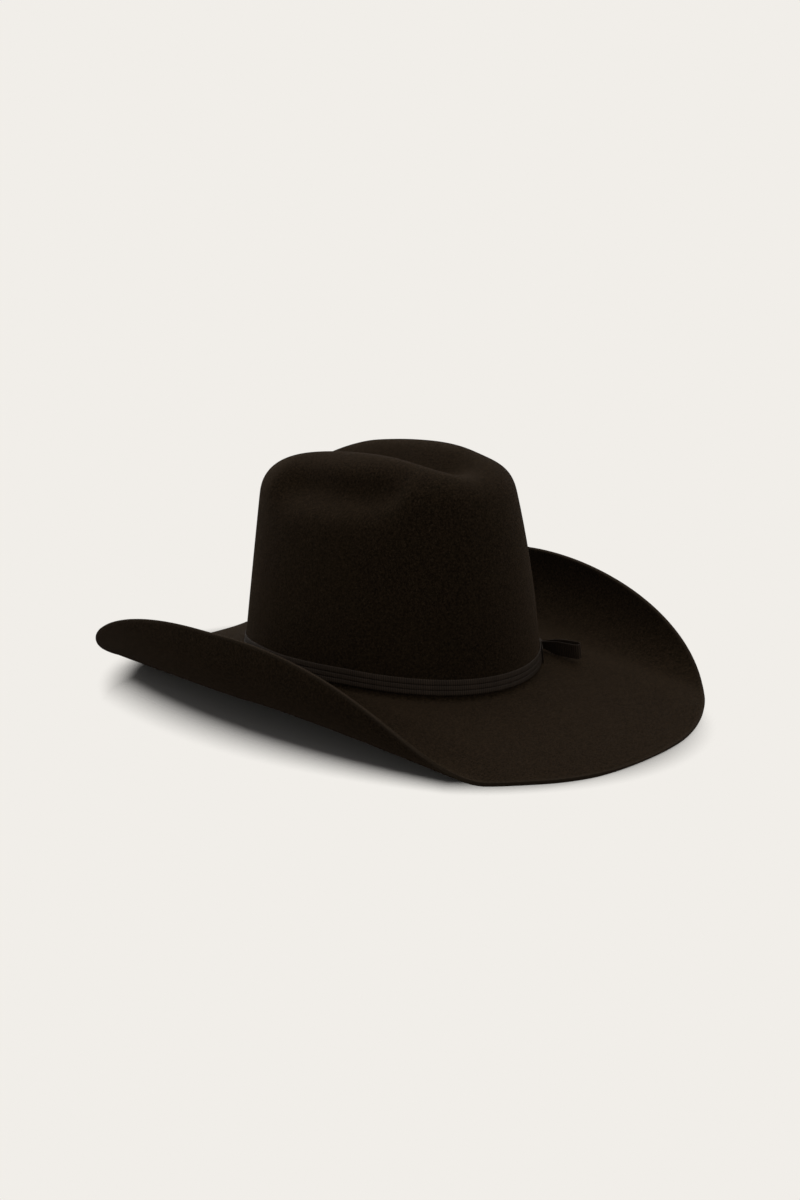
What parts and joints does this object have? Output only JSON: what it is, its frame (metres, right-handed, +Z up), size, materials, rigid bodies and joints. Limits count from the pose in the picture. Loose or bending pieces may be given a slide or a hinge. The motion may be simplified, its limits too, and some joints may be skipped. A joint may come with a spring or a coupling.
{
  "type": "cowboy hat",
  "caption": "Western felt hat with a creased crown, curled brim, ribbon band and bow, leather sweatband and satin lining.",
  "frame": {"origin": "on the surface the hat stands on, below the middle of its bounding box, which is below the middle of the head opening", "axes": "+Z up out of the crown, -Y to the front of the hat, +X to the wearer's left"},
  "size_m": [0.295, 0.4109, 0.1631],
  "materials": {
    "felt": "dense brown-black fur felt with a short brushed nap",
    "ribbon": "ribbed grosgrain ribbon, slightly satin",
    "sweatband_leather": "smooth brown leather, satin",
    "reed": "smooth flexible plastic rod",
    "tape": "thin woven cotton tape",
    "label": "plain unprinted coated cloth label",
    "satin": "dark satin lining cloth with a soft sheen",
    "shield": "clear flexible film"
  },
  "bodies": {
    "root": {"felt_body": "felt", "hat_band": "ribbon", "bow_loops": "ribbon", "bow_knot": "ribbon", "bow_tail": "ribbon", "sweatband": "sweatband_leather", "sweatband_reed": "reed", "reed_tape": "tape", "sweatband_seam_tape": "tape", "sweatband_bow_loops": "ribbon", "sweatband_bow_knot": "ribbon", "size_label": "label", "content_label": "label", "lining_side": "satin", "lining_tip": "satin", "lining_tip_shield": "shield"}
  },
  "joints": []
}
